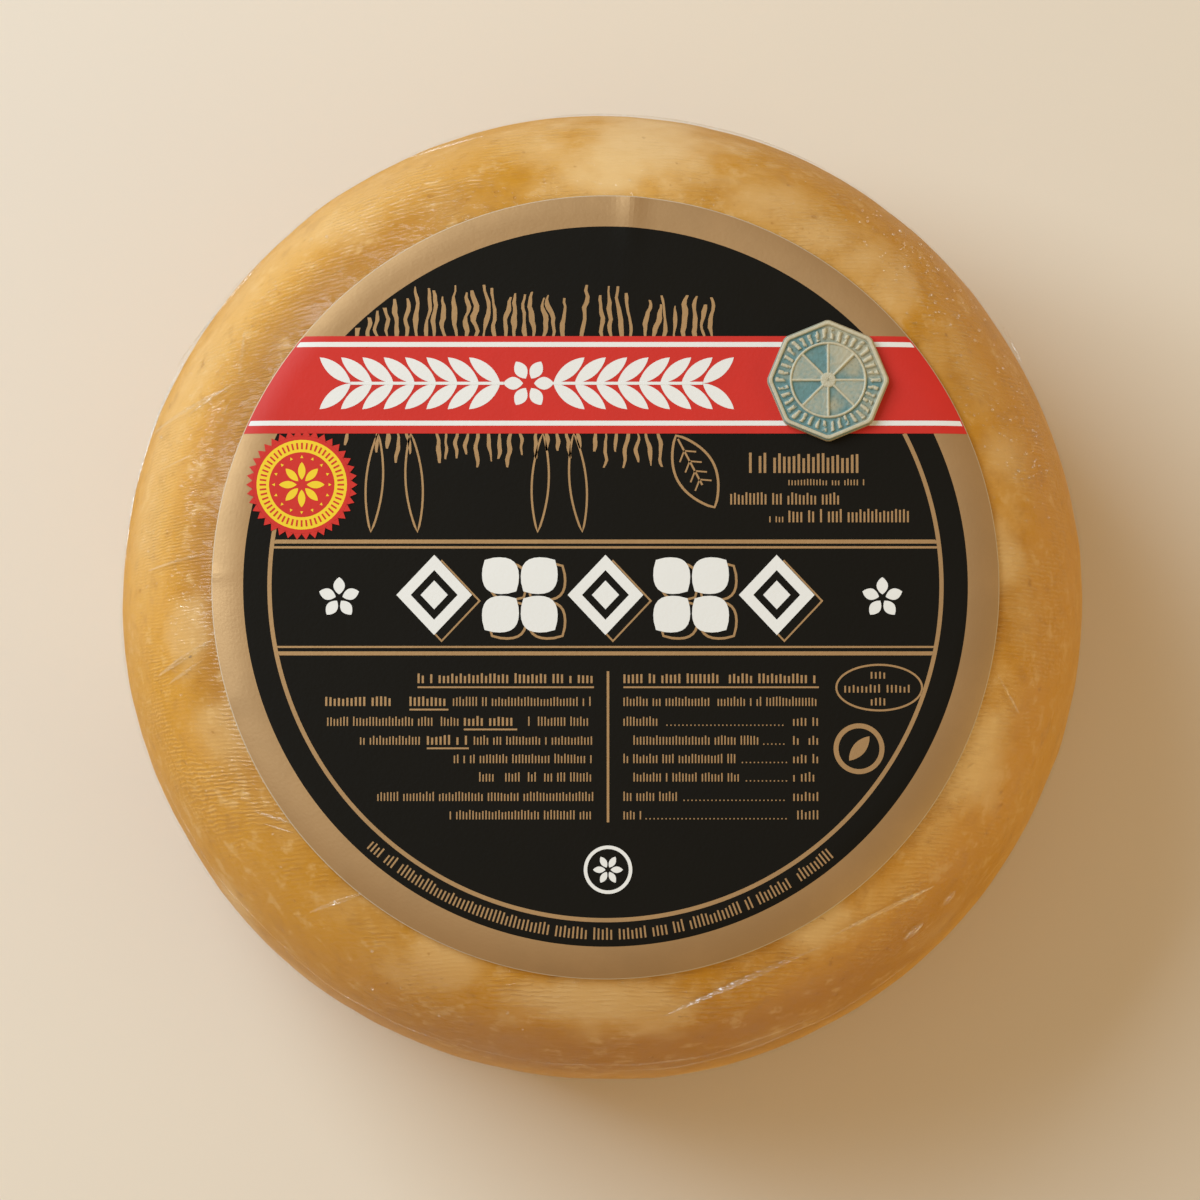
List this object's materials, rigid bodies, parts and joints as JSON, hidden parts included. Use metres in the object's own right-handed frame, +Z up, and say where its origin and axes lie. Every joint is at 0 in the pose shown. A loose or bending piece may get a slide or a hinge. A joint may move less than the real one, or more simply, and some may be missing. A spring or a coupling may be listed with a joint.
{
  "type": "cheese wheel",
  "caption": "Round cured cheese wheel with a bulging side and rounded edges, wrapped in clear film, with a round paper label and a small octagonal plaque on its face.",
  "frame": {"origin": "on the resting plane, under the middle of the wheel", "axes": "+Z up along the wheel's axis, out of its labelled face; +Y towards the top edge of the label"},
  "size_m": [0.2012, 0.2012, 0.0987],
  "materials": {
    "rind": "satin",
    "film": "gloss",
    "label_paper": "satin",
    "casein": "matte"
  },
  "bodies": {
    "root": {"cheese_wheel": "rind", "clear_film": "film", "face_label": "label_paper", "casein_plaque": "casein"}
  },
  "joints": []
}
